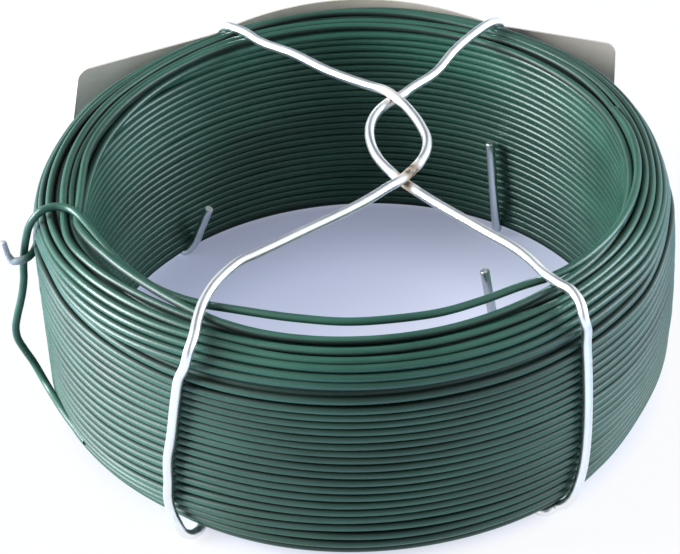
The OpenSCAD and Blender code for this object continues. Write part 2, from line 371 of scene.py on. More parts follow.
# Rounding (mm) of the bundle's top outer edge.
TOP_ROUND = round_the_coil((-165, -150, -135, -120, -107, -90, -60, 0, 70, 90, 103, 115, 130,
                            142, 155, 168, 180),
                           (5.6, 7.1, 8.4, 8, 9.7, 10.4, 9, 9, 9, 8.6, 7, 6.4, 6.3,
                            6.4, 4.6, 3.5, 3.6))

# The edge turn along the rim of the bore: angle, radius and height (mm) of its centre.
EDGE_TURN = (
    (-165, 70.8, 59), (-150, 70.6, 59.1), (-140, 69.9, 59.2), (-120, 69.3, 59.2),
    (-100, 69, 59.2), (-90, 68.6, 59.2), (-84, 69, 59.2), (-80, 69.7, 59.2), (-74, 71.2, 59.7),
    (-70, 71.1, 60.2), (-65, 70.5, 60.5), (-60, 69.8, 60.6), (-55, 69.4, 60.6), (-50, 69.15, 60.6),
    (-45, 69.15, 60.6), (-40, 69.45, 60.6), (-33, 70.2, 60.5), (-28, 70.8, 60.3), (-20, 71.3, 60),
    (-10, 71.5, 59.8), (0, 71.65, 59.8), (20, 71.7, 59.8), (30, 71.5, 59.8), (40, 71.5, 59.8),
    (50, 71.7, 59.8), (60, 71.3, 59.4), (70, 70.6, 59.1), (80, 70.1, 59), (90, 69.8, 59),
    (100, 69.6, 59), (110, 69.5, 59), (120, 69.3, 59), (130, 69.3, 59), (140, 69.5, 59),
    (155, 70, 59), (170, 70.6, 59), (180, 70.9, 59))

# The turns next to it across the top: angle, distance (mm) from the bore's top edge,
# and how deep the turn lies below its neighbours.
TOP_TURNS = (
    ((-165, 3.1, 0), (-150, 2.4, 0), (-140, 1.6, 0.1), (-130, 1.2, 0.2), (-120, 1, 0.3),
     (-100, 0.95, 0.6), (-90, 1.1, 0.7), (-80, 1.6, 0.7), (-74, 2.3, 1.2), (-68, 2.2, 1.3),
     (-60, 1.8, 1.3), (-50, 1, 1.4), (-28, 0.8, 1.8), (0, 0.9, 1.9), (29, 1.2, 1.9),
     (50, 0.6, 0.9), (60, 0.9, 0.6), (75, 1.9, 0.2), (90, 2.7, 0), (105, 3.1, 0), (120, 3.3, 0),
     (140, 3.3, 0), (155, 3, 0), (170, 3.1, 0), (180, 3.2, 0)),
    ((-165, 7.7, 0), (-150, 5.2, 0), (-140, 4.3, 0), (-130, 3.6, 0), (-120, 3.45, 0),
     (-110, 3.1, 0), (-100, 2.85, 0), (-90, 2.9, 0), (-80, 3.5, 0), (-70, 4.7, 0), (-60, 3.6, 0),
     (-50, 2.1, 0), (-40, 1.15, 0), (-28, 0.8, 0.1), (-15, 0.2, 0.3), (0, -0.4, 0.3),
     (15, -0.4, 0.3), (29, 0.6, 0.9), (40, 2.4, 0.2), (50, 3.2, 0), (60, 3.7, 0), (75, 3.95, 0),
     (90, 4.9, 0), (100, 5.3, 0), (120, 5.5, 0), (140, 5.5, 0), (155, 6.1, 0), (168, 7.9, 0),
     (180, 8.6, 0)),
    ((-165, 9.6, 0), (-150, 7.4, 0), (-140, 6.4, 0), (-130, 6, 0), (-120, 5.9, 0),
     (-110, 6.4, 0), (-100, 6.8, 0), (-90, 7, 0), (-80, 7.3, 0), (-70, 6.9, 0), (-60, 6.3, 0),
     (-50, 5.4, 0), (-40, 4.65, 0), (-28, 4.3, 0), (0, 4.6, 0), (29, 4.7, 0), (40, 5.2, 0),
     (50, 5.5, 0), (60, 5.9, 0), (80, 6.1, 0), (90, 6.6, 0), (100, 7.3, 0), (120, 7.6, 0),
     (140, 7.6, 0), (155, 8.1, 0), (168, 9.8, 0), (180, 10.5, 0)),
    ((-165, 11.5, 0), (-150, 9.4, 0), (-140, 8.4, 0), (-130, 8, 0), (-120, 7.95, 0),
     (-110, 8.6, 0), (-100, 9.5, 0), (-90, 10, 0), (-80, 9.8, 0), (-70, 9.2, 0), (-60, 8.4, 0),
     (-50, 7.7, 0), (-40, 7, 0), (-28, 6.4, 0), (-10, 6.8, 0.35), (0, 7, 0.4), (20, 7.1, 0.35),
     (29, 7.2, 0), (50, 7.1, 0), (60, 7.8, 0), (80, 8.1, 0), (90, 8.6, 0), (105, 9.5, 0),
     (120, 9.7, 0), (140, 9.7, 0), (155, 10.1, 0), (168, 11.7, 0), (180, 12.3, 0)),
    ((-165, 13.4, 0), (-150, 11.5, 0), (-140, 10.5, 0), (-120, 10.1, 0), (-100, 11.7, 0),
     (-90, 12, 0), (-70, 10.6, 0), (-60, 10.2, 0), (-50, 9.7, 0), (-28, 8.5, 0), (0, 9, 0),
     (29, 9.3, 0), (50, 9, 0), (60, 9.6, 0), (75, 9.6, 0), (90, 10.5, 0), (105, 11.6, 0),
     (120, 11.8, 0), (140, 11.8, 0), (155, 12.2, 0), (168, 13.6, 0), (180, 14, 0)),
    ((-165, 15.3, 0), (-150, 13.6, 0), (-120, 12.3, 0), (-90, 14, 0.1), (-70, 11.7, 0.3),
     (-60, 11.8, 0.1), (-50, 11.6, 0), (-28, 10.6, 0), (0, 11.2, 0), (29, 11.5, 0), (50, 11, 0),
     (60, 11.5, 0.1), (75, 11, 0.3), (105, 13.7, 0), (140, 13.9, 0), (155, 14.2, 0),
     (180, 15.7, 0)),
    ((-165, 17.2, 0), (-150, 15.7, 0), (-120, 14.5, 0), (-90, 15.9, 0.1), (-70, 12.7, 0.5),
     (-60, 13.4, 0.1), (-50, 13.6, 0), (-28, 12.6, 0), (0, 13, 0), (29, 13.5, 0), (50, 13.2, 0),
     (60, 13.5, 0.1), (75, 12.2, 0.5), (105, 15.8, 0), (140, 16, 0), (155, 16.3, 0),
     (180, 17.4, 0)),
    ((-165, 19, 0), (-150, 17.8, 0), (-120, 16.7, 0), (-90, 17.4, 0.3), (-70, 13.7, 0.8),
     (-60, 15, 0.5), (-50, 15.7, 0.3), (-28, 16.8, 0.15), (0, 17.1, 0.2), (29, 17.6, 0.2),
     (50, 17.4, 0.3), (60, 17.2, 0.5), (75, 13.2, 0.8), (105, 17.9, 0.1), (140, 18.1, 0),
     (155, 18.3, 0), (180, 19.1, 0)),
    ((-165, 20.9, 0), (-150, 20, 0), (-120, 19, 0), (-90, 19.4, 0), (-70, 16.4, -0.15),
     (-60, 17.9, -0.2), (-50, 18.5, -0.2), (-28, 19.4, -0.15), (0, 19.8, -0.15),
     (29, 20.3, -0.15), (50, 20.2, -0.2), (60, 20, -0.2), (75, 16.1, -0.1), (105, 20, 0),
     (140, 20.2, 0), (155, 20.3, 0), (180, 21, 0)),
)

# Where a few turns down the outside lie, as that distance round a shoulder of
# ROUND_READ mm, at these angles. The first number says how many turns further down
# each lies than the one before it; the turns between are spread evenly.
ROUND_READ = 9
TURN_ANGLES = (-155, -120, -90, -68, -55, -28, 0, 29, 50, 75, 105, 140, 180)
TURNS = (
    (7, (34.9, 35.7, 36, 36.5, 36.4, 34.5, 35, 36.4, 38.1, 37.3, 36.7, 34.6, 32.8)),
    (6, (49.3, 50.1, 50.8, 52.1, 52.1, 48.9, 48.9, 49.5, 50.8, 50.6, 50.8, 49, 47.2)),
    (2, (54.1, 54.9, 55.6, 57, 57, 54.4, 53.4, 54.2, 55.4, 55.3, 55.6, 53.8, 52)),
    (3, (61.3, 62, 62.5, 63.6, 63.7, 61.3, 61.3, 61.3, 62.2, 62.2, 62.7, 61, 59.2)),
)

# Distance (mm) of the last turn, under the bundle next to the bore: with a shoulder of
# ROUND_READ mm, and at each angle, where a fuller shoulder makes the way shorter.
LAST_EVEN = 74.4
LAST_TURN = LAST_EVEN - 0.43 * (TOP_ROUND - ROUND_READ)

# How many turns make up the top, the side, and the rest of the way round the bottom.
TOP_COUNT = 1 + len(TOP_TURNS)
SIDE_COUNT = 16
BOTTOM_COUNT = 5

# The first turn down the bore drops away from the edge turn at the back left.
BORE_DROP = ((-165, 56.6), (-150, 56.6), (-140, 56.4), (-130, 55.8), (-120, 54.8), (-110, 53.6),
             (-100, 51.2), (-92, 49), (-80, 49.5), (-50, 53), (0, 56.5), (50, 57), (105, 57),
             (140, 57), (165, 56.8), (180, 56.7))

# The even turns down the bore: height (mm) of the first, spacing and number, and the
# lowest that one may lie.
BORE_FIRST, BORE_PITCH, BORE_COUNT, BORE_LOWEST = 54.8, 2.1, 26, 0.98

# The layer that shows through gaps: its depth (mm) under the outer one, and its spacing.
UNDER_DEPTH, UNDER_PITCH = 1.8, 2.15


def section(f, s):
    """Centre of a turn (radius, height) and the way it faces, at distance s (mm)
    from the bore's top edge: down the bore where negative, else over the top,
    down the outside and back in along the bottom."""
    tb = TOP_ROUND - f.wire_r
    bb = f.bottom_round - f.wire_r
    top = f.coil_h - f.wire_r
    flat = f.out_r - tb - f.in_r
    shoulder = flat + np.pi / 2 * tb
    side = shoulder + (f.coil_h - f.wire_d - tb - bb)
    foot = side + np.pi / 2 * bb
    a = np.clip((s - flat) / tb, 0, np.pi / 2)
    b = np.clip((s - side) / bb, 0, np.pi / 2)
    parts = (s < 0, s <= flat, s <= shoulder, s <= side, s <= foot)
    r = np.select(parts, (f.in_r, f.in_r + s, f.out_r - tb + tb * np.sin(a), f.out_r,
                          f.out_r - bb + bb * np.cos(b)), f.out_r - bb - (s - foot))
    z = np.select(parts, (top + s, top, top - tb + tb * np.cos(a), top - tb - (s - shoulder),
                          f.bottom_round - bb * np.sin(b)), f.wire_r)
    # just below the bore's edge a turn goes over to facing inward
    turn_over = np.pi / 2 + np.pi / 2 * np.clip(-s / 1.2, 0, 1)
    face = np.select((s < 0, s <= shoulder, s <= side), (turn_over, np.pi / 2 - a, 0.0), -b)
    return r, z, face


def wander(rng, size, wave):
    """A small closed drift round the coil, of about that size and wavelength in degrees."""
    out = np.zeros(STEPS_ROUND)
    for k in range(4):
        n = max(1, round(360 / wave * (0.5 + k * 0.45)))
        out += rng.gauss(0, 1) * np.sin(np.radians(AZ) * n + rng.uniform(0, 2 * np.pi))
    return out * size / 2


def spread_round(table):
    """The columns of a table of points round the coil, as closed curves."""
    columns = list(zip(*table))
    return [round_the_coil(columns[0], c) for c in columns[1:]]


def near(angle, width):
    """1 at that angle round the coil, and less away from it, over about that width."""
    return np.exp(-((AZ - angle) / width)**2)


def belly(z):
    """How much (mm) the bundle is drawn in at each angle: at the right shoulder, and at
    the foot both sides of the front; half way up at the right it stands out."""
    shoulder = -1.7 * near(100, 20) * np.exp(-((z - 54) / 9)**2)
    waist = 0.35 * near(88, 16) * np.exp(-((z - 30) / 12)**2)
    foot = -2.4 * near(62, 18) * np.clip((20 - z) / 16, 0, 1)
    left_foot = -1.7 * near(-42, 20) * np.clip((10 - z) / 8, 0, 1)
    return shoulder + waist + foot + left_foot


def ring_line(f, r, z):
    """The line round the coil through those radii and heights over the seat."""
    a = np.radians(AZ)
    return np.stack([r * np.sin(a), -r * np.cos(a), z + f.seat_z], 1)


def turn_at(f, s, proud):
    """Radius, height and facing of a turn at distance s (mm) from the bore's top edge,
    standing out from its layer by proud."""
    r, z, face = section(f, s)
    return r + belly(z) + proud * np.cos(face), z + proud * np.sin(face), face


def outer_turns(f, rng):
    """Radius, height and facing of the edge turn and of each turn after it: over the
    top, down the outside and back in along the bottom."""
    r, z = spread_round(EDGE_TURN)
    lines = [(r, z, np.full(STEPS_ROUND, np.pi / 2))]
    spots = []
    for table in TOP_TURNS:
        s, sunk = spread_round(table)
        spots.append((s + wander(rng, 0.06, 50), sunk))
    above = spread_round(TOP_TURNS[-1])[0]
    for count, row in TURNS:
        # a fuller shoulder is a shorter way to the same height on the upright outside
        below = round_the_coil(TURN_ANGLES, row) + (2 - np.pi / 2) * (ROUND_READ - TOP_ROUND)
        for k in range(1, count + 1):
            s = above + (below - above) * k / count
            spots.append((s + wander(rng, 0.07, 50), 0))
        above = below
    last = spots[-1][0]
    for k in range(1, BOTTOM_COUNT + 1):
        spots.append((last + (LAST_TURN - last) * k / BOTTOM_COUNT, 0))
    for s, sunk in spots:
        lines.append(turn_at(f, s, wander(rng, 0.05, 70) - sunk))
    return lines


def bore_turns(f, rng):
    """Radius, height and facing of each turn down the bore."""
    inward = np.full(STEPS_ROUND, np.pi)
    drop = spread_round(BORE_DROP)[0]
    # one turn set back under the edge turn, and the one that drops away at the left
    lines = [(f.in_r + 1.7, 57.1 + 0 * AZ, inward),
             (f.in_r - 0.7 * near(-105, 22), drop, inward)]
    low_gap = 0.35 * near(147, 26)
    mid_gap = 0.3 * near(-133, 22)
    for k in range(BORE_COUNT):
        z = BORE_FIRST - BORE_PITCH * k + wander(rng, 0.08, 60)
        z = z - low_gap * np.clip((13 - z) * 0.6, 0, 1) - mid_gap * np.clip((37 - z) * 0.6, 0, 1)
        # above the turn that drops away the others lie deeper
        sunk = 1.9 * np.clip((z - drop + 2.0) / 1.4, 0, 1)
        r = f.in_r + sunk + wander(rng, 0.04, 70)
        lines.append((r, np.maximum(z, BORE_LOWEST), inward))
    return lines


def under_layer(f):
    """The next layer down, one turn behind each gap of an even outer layer."""
    turns = []
    s = 1.1 - (f.coil_h - f.wire_d)
    while s < LAST_EVEN - 1.2:
        at = np.where(s < 0, s, s * LAST_TURN / LAST_EVEN) + 0 * AZ
        turns.append(turn_at(f, at, -UNDER_DEPTH))
        s += UNDER_PITCH
    return turns


class WIRECOIL_OT_turns(bpy.types.Operator):
    """Winds the visible turns of the coil as separate strands, in four pieces"""
    bl_idname = "wire_coil.turns"
    bl_label = "Turns of the coil"

    def execute(self, context):
        f = Form()
        coat = coat_material()
        rng = random.Random(SEED)
        outer = outer_turns(f, rng)
        bore = bore_turns(f, rng)
        rng = random.Random(SEED + 1)
        low = TOP_COUNT + SIDE_COUNT
        # turns, sides of a wire, how dark the shade painted in its grooves is, and what is added to
        # its radius
        groups = {"top_turns": (outer[:TOP_COUNT], 16, 1.0, 0),
                  "side_turns": (outer[TOP_COUNT:low], 16, 1.0, 0),
                  "bottom_turns": (outer[low:], 10, 1.0, 0),
                  "bore_turns": (bore, 10, 0.15, 0.09)}
        for name, (turns, sides, shade_and_bleach, stout) in groups.items():
            m = Mesh()
            round_wire = 2 * np.pi * np.arange(sides) / sides
            for r, z, face in turns:
                # shade is painted in the grooves, on the two flanks turned to the next turns,
                # and on the upright outside on the upper flank, which leaves the lower flank
                # lighter
                face = np.reshape(face, (-1, 1))
                out, up = np.cos(round_wire + face), -np.sin(round_wire + face)
                upright = np.clip(np.cos(face), 0, 1)
                flank = np.clip((0.74 - 0.42 * upright * (up < 0) - out) / 0.4, 0, 1)
                upper = 0.6 * upright * np.clip((up - 0.1) / 0.6, 0, 1)
                m.tube(ring_line(f, r, z), f.wire_r + stout, sides, closed=True,
                       mask=shade_and_bleach * np.maximum(flank, upper), start=rng.uniform(0, 400))
            finish_piece(m.make(name, coat, weld=0), "coated_wire", "wire_coil")
        return {"FINISHED"}


class WIRECOIL_OT_inner_turns(bpy.types.Operator):
    """Makes the layer of turns that shows through the gaps of the outer one"""
    bl_idname = "wire_coil.inner_turns"
    bl_label = "Inner turns"

    def execute(self, context):
        f = Form()
        arc = np.radians((-58, -20, 20, 58))        # the part of each turn that can show
        profile = [(r + f.wire_r * np.cos(face - t), z + f.wire_r * np.sin(face - t))
                   for r, z, face in under_layer(f) for t in arc]
        n, k = STEPS_ROUND, len(profile)
        pts = np.stack([ring_line(f, r, z) for r, z in profile])
        j = np.repeat(np.arange(k), n)
        i = np.tile(np.arange(n), k)
        jn, i2 = (j + 1) % k, (i + 1) % n
        quads = np.stack([j * n + i, jn * n + i, jn * n + i2, j * n + i2], 1)
        uv = np.stack([i, j, i, j + 1, i + 1, j + 1, i + 1, j], 1).reshape(-1, 2) * MM * 2
        m = Mesh()
        # the whole layer carries painted shade, dark like the gaps it shows through
        m.add(pts.reshape(-1, 3), quads, uv, np.full(k * n, 0.8))
        finish_piece(m.make("inner_turns", coat_material(), weld=0), "coated_wire", "wire_coil")
        return {"FINISHED"}


# ---- loose parts of the same wire ---------------------------------------------

def tie_route(f):
    """The tie up the left outside and over the top, and on as the loose turn."""
    side = -80.5
    outside, in_bore, up = f.outside, f.in_bore, f.up_side
    top, loose = f.top_z, f.loose_z
    return [
        outside(-60, -f.wire_r, up(0.112)), outside(-70, 0, up(0.123)),
        outside(-78, 2, up(0.137)), outside(side, 4.3, up(0.212)),
        outside(side, 5.9, up(0.278)), outside(side, 7.4, up(0.357)),
        outside(side, 7.4, up(0.405)), outside(side, 6.5, up(0.47)),
        outside(side, 5.3, up(0.535)), outside(side, 4.3, up(0.597)),
        outside(side, 3.6, up(0.658)), outside(side, 3.2, up(0.728)),
        outside(side, 2.3, up(0.815)), outside(-80.3, 1.5, up(0.872)),
        outside(-80.1, 0.6, up(0.92)),
        outside(-79.7, -1, top - 1.9), outside(-79.6, -3, loose - 1),
        outside(-79.7, -5.2, loose - 0.4), outside(-79.5, -7.2, loose - 0.3),
        outside(-78.4, -9.6, loose - 0.3), in_bore(-75.2, -1.3, loose - 0.3),
        in_bore(-71, -0.2, loose - 0.4), in_bore(-64.7, 0.5, loose - 0.5),
        in_bore(-55, 0.8, loose - 0.8), in_bore(-42.6, 1.1, loose - 1),
        in_bore(-33.5, 2.5, loose - 1), in_bore(-27, 3.5, loose - 0.6),
        *level(in_bore, loose, (-12, 3.6), (-2.6, 3), (8.3, 2.8), (16.6, 2.3)),
        in_bore(25.4, 2.6, loose - 0.2),
        in_bore(34.7, 2.2, loose - 0.3), in_bore(43.2, -0.3, loose - 0.3),
        in_bore(55.6, -1.9, loose - 0.1), in_bore(70.4, -2.6, loose - 0.1),
        in_bore(80, -2.8, loose - 0.3), in_bore(90, -3, loose - 0.6),
        in_bore(100, -3.2, loose - 1), in_bore(108, -3.3, loose - 1.8)]


def hook_route(f):
    """The outer end's hook, from the bundle's left outside round the tie."""
    low, outside = f.up_side(0.777), f.outside
    return [
        outside(-84.5, -1.7, low + 2.1), outside(-81.8, -0.6, low + 1.1),
        outside(-79.8, 0.8, low + 0.7), outside(-78.7, 2.6, low + 0.6),
        outside(-78.8, 4.3, low + 0.2), outside(-79.3, 5.8, low), outside(-79.7, 6.7, low + 1),
        outside(-80, 7.3, low + 3.2), outside(-80.2, 7.6, low + 5.1)]


class WIRECOIL_OT_loose_wire(bpy.types.Operator):
    """Bends the tie with its loose turn, and the hooked end with its cut steel core"""
    bl_idname = "wire_coil.loose_wire"
    bl_label = "Tie, loose turn and hooked end"

    def execute(self, context):
        f = Form()
        coat = coat_material()
        m = Mesh()
        m.rod(smooth(tie_route(f), 8), f.wire_r, 16)
        finish_piece(m.make("tie_and_loose_turn", coat), "coated_wire", "tie_and_loose_turn")

        m = Mesh()
        sides, tip_share = 16, 0.93     # the hook's tip is a little thinner
        line = smooth(hook_route(f), 8)
        r = np.full(len(line), f.wire_r)
        r[-1] = f.wire_r * tip_share
        # towards its tip the coat is bleached
        tip = np.linalg.norm(line - line[-1], axis=1)
        rings = m.tube(line, r, sides, mask=-np.clip((7.5 - tip) / 4, 0, 1))
        m.cap(rings[0], line[0], False)
        # the coat ends in a flat face round the steel
        rim = line[-1] + (rings[-1] - line[-1]) * (f.core_d / f.wire_d / tip_share)
        k = np.arange(sides)
        n = (k + 1) % sides
        m.add(np.vstack([rings[-1], rim]), np.stack([k, n, n + sides, k + sides], 1),
              np.zeros((4 * sides, 2)), -np.ones(2 * sides))
        m.cap(rim, line[-1], True, -1.0)
        finish_piece(m.make("hooked_end", coat), "coated_wire", "hooked_end")

        m = Mesh()
        ahead = line[-1] - line[-3]
        ahead /= np.linalg.norm(ahead)
        tip = np.array([line[-1] + d * ahead for d in (-0.5, 0.12, 0.22)])
        m.rod(tip, (f.core_d / 2, f.core_d / 2, f.core_d / 2 - 0.1), sides)
        finish_piece(m.make("hooked_end_steel", cut_steel_material()), "plated_wire", "hooked_end")
        return {"FINISHED"}


# ---- cage ----------------------------------------------------------------------

def left_cage_route(f):
    """The left wire: its leaning cut end in the bore, under the coil to the back, up
    behind the card, over the bore, down the front left and under the coil to its stub."""
    back = -155
    in_bore, outside, leg, over_bore = f.in_bore, f.outside, f.leg, f.over_bore
    lean, run, rim, top, high = f.lean_stub_h, f.run_z, f.rim_z, f.top_z, f.high_z
    out = f.back_leg_r
    return [
        in_bore(-139.4, 6.8, lean), in_bore(-138.5, 3.3, 0.55 * lean),
        in_bore(-137.7, 0.7, 0.22 * lean),
        in_bore(-136.3, -1.2, 1.6), in_bore(-136.4, -4.2, run), outside(-141.2, -3.8, run),
        outside(-147, -3, run), outside(-151, 0, 2.2), ring(-154, out, 6),
        ring(back, out, 12), ring(back, out, top - 10.3),
        ring(back, out - 0.3, top - 5.5), ring(back + 0.1, out - 1.3, top - 3),
        ring(back, out - 3, top - 1.1), ring(-155.5, 78.2, top + 0.4),
        ring(-156.3, 75.6, rim - 0.4), ring(-157.1, 73, rim - 0.2),
        outside(-158.5, -17.7, rim + 0.7), over_bore(-0.21, 0.715, high - 1.8),
        over_bore(-0.072, 0.558, high - 1.1), over_bore(0.072, 0.428, high - 0.3),
        *level(over_bore, high, (0.138, 0.377), (0.188, 0.304), (0.232, 0.21), (0.264, 0.109),
               (0.278, 0.029), (0.268, -0.058), (0.243, -0.123), (0.207, -0.18),
               (0.17, -0.229), (0.13, -0.264)),
        over_bore(0.058, -0.325, high - 0.5), over_bore(-0.188, -0.497, high - 1.4),
        over_bore(-0.349, -0.612, high - 1.6), over_bore(-0.398, -0.645, high - 1.7),
        over_bore(-0.442, -0.691, high - 2.1),
        outside(-32.9, -20.8, rim + 1.9), outside(-32, -14.1, rim + 1.2),
        outside(-30.3, -7.9, rim + 0.5), outside(-28.8, -2.7, rim - 0.4),
        leg(-28.6, -0.8, top - 1.3), leg(-28.9, 0, top - 4), leg(-30.6, 0, top - 9.8),
        leg(-31.6, 0, top - 16.3), leg(-33.4, 0, f.up_side(0.503)),
        leg(-34.4, 0, f.up_side(0.4)), leg(-34.8, 0, f.up_side(0.278)),
        leg(-35.2, 0, f.up_side(0.17)), leg(-34.8, 0, 9.2),
        outside(-33.7, 1.3, 6), outside(-32.9, 0.6, 3),
        outside(-32.2, -0.9, 1.6), outside(-31.8, -3, 1.3), outside(-32.2, -6, run),
        in_bore(-35, -2, run), in_bore(-37, 4, run), in_bore(-38, 6.8, 1.9),
        in_bore(-38.5, 8.2, 4.5), in_bore(-38.4, 10.3, 0.87 * f.stub_h)]


def right_cage_route(f):
    """The right wire, laid as the left one but under it where they cross."""
    back = 149
    in_bore, outside, leg, over_bore = f.in_bore, f.outside, f.leg, f.over_bore
    run, rim, top, low = f.run_z, f.rim_z, f.top_z, f.low_z
    out = f.back_leg_r + 1.3
    return [
        in_bore(144.4, 2.6, 1.03 * f.stub_h), in_bore(143.1, 2, 6), in_bore(143.2, 1.3, 2.6),
        in_bore(144, -0.8, run), outside(145.1, -8.9, run), outside(148.5, -3.5, run),
        outside(148.8, 0.5, 2.3), ring(back, out, 6), ring(back, out, 12),
        ring(back, out, top - 10.3), ring(back, out - 1, top - 5.5),
        ring(148.9, out - 2.2, top - 2.8), ring(148.7, out - 3.8, top - 0.9),
        ring(148.5, 79.2, top + 0.3), ring(148.5, 77, rim + 0.2),
        outside(149, -17.2, rim + 2), over_bore(0.41, 0.68, low),
        over_bore(0.334, 0.552, low - 0.8), over_bore(0.239, 0.442, low - 0.5),
        *level(over_bore, low, (0.206, 0.391), (0.145, 0.333), (0.101, 0.267), (0.075, 0.186),
               (0.07, 0.104), (0.078, 0.032), (0.101, -0.051), (0.133, -0.119),
               (0.167, -0.178), (0.212, -0.241), (0.258, -0.301)),
        over_bore(0.435, -0.516, low + 0.5), outside(40.5, -18.9, low - 0.2),
        outside(40.5, -13.6, low - 1.8), outside(40.3, -8.5, rim + 0.7),
        outside(39.9, -4.1, rim + 1.2), outside(39.2, -0.4, rim + 0.1),
        leg(38.6, 0.6, top - 1.5), leg(39.2, 0.7, top - 4.9), leg(39.6, 0.1, top - 9.3),
        leg(40, 0, top - 15.8), leg(40.4, 0, f.up_side(0.537)),
        leg(40.4, 0, f.up_side(0.378)), leg(40.1, 0, f.up_side(0.268)),
        leg(39.6, 0, f.up_side(0.192)), leg(38.8, 0, 10),
        outside(37.8, 0.9, 6.6), outside(37, -0.8, 3.4),
        outside(36, -2.6, 1.9), outside(34.4, -3.2, 1.3), outside(33.3, -4.8, run),
        outside(34, -9, run), over_bore(0.555, -0.26, run), over_bore(0.554, -0.188, run),
        over_bore(0.542, -0.122, 2.1),
        over_bore(0.536, -0.099, 5), over_bore(0.481, -0.065, f.stub_h)]


def crossings(a, b):
    """Where two lines over the bore come nearest, at the back and at the front."""
    found = {}
    gap = np.linalg.norm(a[:, None] - b[None], axis=2)
    over = 50       # mm: the runs under the coil lie lower
    for name, side in (("back", 1), ("front", -1)):
        on_a = (a[:, 1] * side > 0) & (a[:, 2] > over)
        on_b = (b[:, 1] * side > 0) & (b[:, 2] > over)
        g = np.where(on_a[:, None] & on_b[None], gap, np.inf)
        i, j = np.unravel_index(np.argmin(g), g.shape)
        found[name] = (a[i], b[j], i, j)
    return found


WELD_HEAT = {"back": 0.6, "front": 1.0}


def weld_heat(name, line, welds):
    """How far the welds have tinted a wire at each point of its line. The front one was
    made hotter, and on the left wire mostly on one side of it."""
    heat = np.zeros(len(line))
    for side, (a, b, i, _) in welds.items():
        middle = (a + b) / 2
        if side == "front" and name == "left_cage_wire":
            away = line[i - 4] - line[i]
            middle = middle + 2.4 * away / np.linalg.norm(away)
        far = np.linalg.norm(line - middle, axis=1)
        heat = np.maximum(heat, WELD_HEAT[side] * np.clip(1.45 - far / 4.2, 0, 1))
    return heat


class WIRECOIL_OT_cage(bpy.types.Operator):
    """Bends the two plated cage wires and joins them with their two welds"""
    bl_idname = "wire_coil.cage"
    bl_label = "Cage wires and welds"

    def execute(self, context):
        f = Form()
        plating = plating_material()
        lines = {"left_cage_wire": smooth(left_cage_route(f), 8),
                 "right_cage_wire": smooth(right_cage_route(f), 8)}
        welds = crossings(*lines.values())
        burr_l, burr_r = 0.25, 0.2      # the cut ends taper over that length by that radius
        for name, line in lines.items():
            ends = []
            for i, j in ((0, 1), (-1, -2)):
                back = line[j] - line[i]
                back /= np.linalg.norm(back)
                ends.append(line[i] + back * burr_l)
            full = np.vstack([line[:1], ends[0], line[1:-1], ends[1], line[-1:]])
            heat = weld_heat(name, line, welds)
            heat = np.concatenate([heat[:1], heat, heat[-1:]])
            r = np.full(len(full), f.cage_r + f.plating_t)
            r[[0, -1]] -= burr_r
            m = Mesh()
            m.rod(full, r, 20, heat)
            finish_piece(m.make(name, plating), "plated_wire", name)
        for side, weld in welds.items():
            finish_piece(weld_nugget(f"{side}_weld", lines, weld, plating),
                         "plated_wire", "left_cage_wire")
        return {"FINISHED"}


def weld_nugget(name, lines, weld, material):
    """Metal squeezed out where one wire was pressed and welded into the other."""
    a, b, i, j = weld
    left, right = lines["left_cage_wire"], lines["right_cage_wire"]
    along = (left[i + 1] - left[i - 1]) / np.linalg.norm(left[i + 1] - left[i - 1])
    across = (right[j + 1] - right[j - 1]) / np.linalg.norm(right[j + 1] - right[j - 1])
    if along @ across < 0:
        across = -across
    u = along + across
    u /= np.linalg.norm(u)
    w = np.array([0.0, 0.0, 1.0])
    v = np.cross(w, u)
    middle = (a + b) / 2
    half_l, half_w, half_h = 1.55, 1.15, 0.75
    rng = random.Random(name)
    rows, cols = 9, 20
    pts = []
    for p in range(1, rows):
        t = np.pi * p / rows
        for q in range(cols):
            c = 2 * np.pi * q / cols
            lump = 1 + 0.07 * math.sin(3 * c + 5 * t) + 0.05 * rng.uniform(-1, 1)
            pts.append(middle + lump * (half_l * u * np.sin(t) * np.cos(c)
                       + half_w * v * np.sin(t) * np.sin(c) + half_h * w * np.cos(t)))
    pts = np.array(pts)
    at = np.arange((rows - 1) * cols).reshape(rows - 1, cols)
    after = np.roll(at, -1, 1)
    quads = np.stack([at[:-1], at[1:], after[1:], after[:-1]], 2).reshape(-1, 4)
    m = Mesh()
    m.add(pts, quads, np.zeros((4 * len(quads), 2)), np.ones(len(pts)))
    m.cap(pts[:cols], middle + half_h * w, True, 1.0)
    m.cap(pts[-cols:], middle - half_h * w, False, 1.0)
    return m.make(name, material)


# ---- card ------------------------------------------------------------------------

CARD_LEAVES = (-155.5, 158)     # angles at which the card leaves the coil and runs on straight
CARD_SLANT = 0.2                # how far its left edge goes out for each mm down
# Columns by a rounded corner, as shares of the card's width from its edge.
CORNER_COLUMNS = np.array([0, 0.0006, 0.0022, 0.005, 0.009, 0.0135, 0.0177])


def card_top(f, x):
    """Height of the card's top edge at x: straight, with a bulge and rounded corners."""
    middle, reach, corner = 0.014 * f.card_w, 0.27 * f.card_w, f.card_corner
    bulge_r = (reach**2 + f.card_bulge**2) / (2 * f.card_bulge)
    z = f.card_high
    d = abs(x - middle)
    if d < reach:
        z += f.card_bulge - bulge_r + math.sqrt(bulge_r**2 - d * d)
    d = f.card_w / 2 - abs(x)
    if d < corner:
        z -= corner - math.sqrt(max(0, corner**2 - (corner - max(d, 0))**2))
    return z


